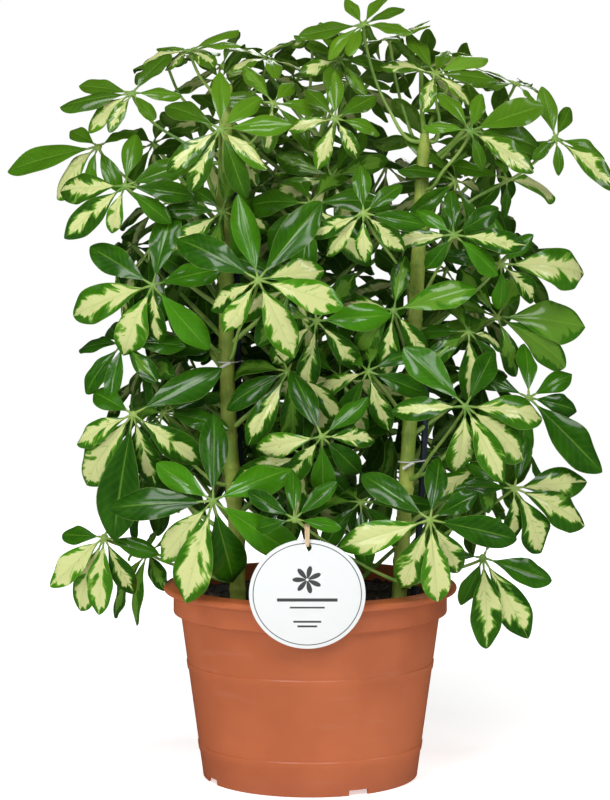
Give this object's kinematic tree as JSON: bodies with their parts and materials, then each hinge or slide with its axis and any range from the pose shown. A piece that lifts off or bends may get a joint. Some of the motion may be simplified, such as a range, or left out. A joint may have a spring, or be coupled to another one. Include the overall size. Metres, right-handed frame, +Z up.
{
  "type": "potted umbrella plant",
  "caption": "Bushy umbrella plant with cream and green fingered leaves on staked stems, growing in a tapered plastic nursery pot with a round hang tag.",
  "frame": {"origin": "centre of the pot's base, on the surface that it stands on", "axes": "+Z up, -Y towards the side with the hang tag, +X to the right of someone who faces the tag"},
  "size_m": [0.5, 0.3307, 0.638],
  "materials": {
    "pot": "terracotta-coloured, semi-matte",
    "soil": "damp dark peat, rough",
    "stem": "yellow-green bark with fine ribs",
    "stake": "blue-black",
    "tie": "off-white coating",
    "tag": "white coated card, satin",
    "tag_loop": "natural raffia",
    "leaf": "glossy green, many leaflets with a cream centre"
  },
  "bodies": {
    "root": {"leaf_01": "leaf", "leaf_02": "leaf", "leaf_03": "leaf", "leaf_04": "leaf", "leaf_05": "leaf", "leaf_06": "leaf", "leaf_07": "leaf", "leaf_08": "leaf", "leaf_09": "leaf", "leaf_10": "leaf", "leaf_11": "leaf", "leaf_12": "leaf", "leaf_13": "leaf", "leaf_14": "leaf", "leaf_15": "leaf", "leaf_16": "leaf", "leaf_17": "leaf", "leaf_18": "leaf", "leaf_19": "leaf", "leaf_20": "leaf", "leaf_21": "leaf", "leaf_22": "leaf", "leaf_23": "leaf", "leaf_24": "leaf", "leaf_25": "leaf", "leaf_26": "leaf", "leaf_27": "leaf", "leaf_28": "leaf", "leaf_29": "leaf", "leaf_30": "leaf", "leaf_31": "leaf", "leaf_32": "leaf", "leaf_33": "leaf", "leaf_34": "leaf", "leaf_35": "leaf", "leaf_36": "leaf", "leaf_37": "leaf", "leaf_38": "leaf", "leaf_39": "leaf", "leaf_40": "leaf", "leaf_41": "leaf", "leaf_42": "leaf", "leaf_43": "leaf", "leaf_44": "leaf", "leaf_45": "leaf", "leaf_46": "leaf", "leaf_47": "leaf", "leaf_48": "leaf", "pot": "pot", "soil": "soil", "stem_left": "stem", "stem_middle": "stem", "stem_right": "stem", "stem_tie_left": "tie", "stem_tie_right": "tie", "support_stake_left": "stake", "support_stake_right": "stake", "tag": "tag", "tag_loop": "tag_loop"}
  },
  "joints": []
}
